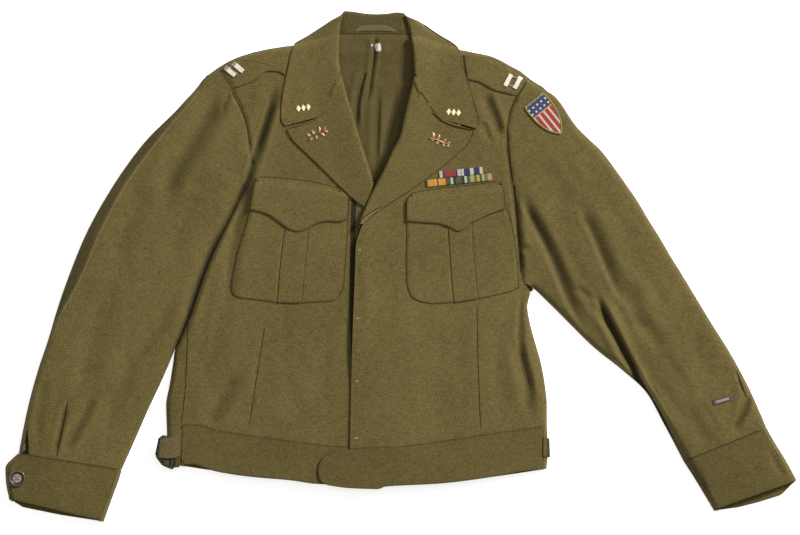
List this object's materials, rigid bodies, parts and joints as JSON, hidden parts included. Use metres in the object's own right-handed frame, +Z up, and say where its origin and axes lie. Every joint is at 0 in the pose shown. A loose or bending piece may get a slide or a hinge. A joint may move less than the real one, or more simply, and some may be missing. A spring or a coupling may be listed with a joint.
{
  "type": "service jacket",
  "caption": "Waist-length wool service jacket laid flat, front up: notched collar and lapels, flapped chest pockets, waistband, spread sleeves with cuffs.",
  "frame": {"origin": "middle of the garment's plan extent, on the surface that it lies on", "axes": "+X across the jacket from the wearer's right sleeve to the left, +Y from the hem towards the collar, +Z up out of the front"},
  "size_m": [1.1234, 0.7256, 0.0277],
  "materials": {
    "wool": "olive drab wool serge, close twill, slightly napped, dull sheen at pressed edges",
    "lining": "brown cotton twill lining, soft creases",
    "loop": "olive cotton tape",
    "silver": "worn silver-coloured metal",
    "gold": "gilt brass, polished by wear",
    "copper": "reddish brass, darkened in the hollows",
    "ribbon": "ribbed silk ribbon in vertical stripes",
    "patch": "embroidered cotton on felt",
    "horn": "dark brown moulded button, satin",
    "dark_metal": "dark japanned wire",
    "label": "torn white cotton",
    "braid": "dark embroidered braid"
  },
  "bodies": {
    "root": {"back": "wool", "back_lining": "lining", "collar_back": "wool", "collar_left": "wool", "collar_pin_left": "gold", "collar_pin_right": "gold", "collar_right": "wool", "cuff_button_right": "horn", "cuff_left_top": "wool", "cuff_left_under": "wool", "cuff_right_top": "wool", "cuff_right_under": "wool", "front_left": "wool", "front_right": "wool", "hanger_loop": "loop", "label_remnant": "label", "lapel_left": "wool", "lapel_pin_left": "copper", "lapel_pin_right": "copper", "lapel_right": "wool", "pocket_flap_left": "wool", "pocket_flap_right": "wool", "pocket_left": "wool", "pocket_right": "wool", "rank_bar_left_a": "silver", "rank_bar_left_b": "silver", "rank_bar_right_a": "silver", "rank_bar_right_b": "silver", "ribbon_bar_lower": "ribbon", "ribbon_bar_upper": "ribbon", "service_bar": "braid", "shoulder_loop_left": "wool", "shoulder_loop_right": "wool", "shoulder_patch": "patch", "side_buckle": "dark_metal", "side_strap_left": "wool", "side_strap_right": "wool", "sleeve_left_top": "wool", "sleeve_left_under": "wool", "sleeve_right_top": "wool", "sleeve_right_under": "wool", "waistband_back": "wool", "waistband_left": "wool", "waistband_right": "wool"}
  },
  "joints": []
}
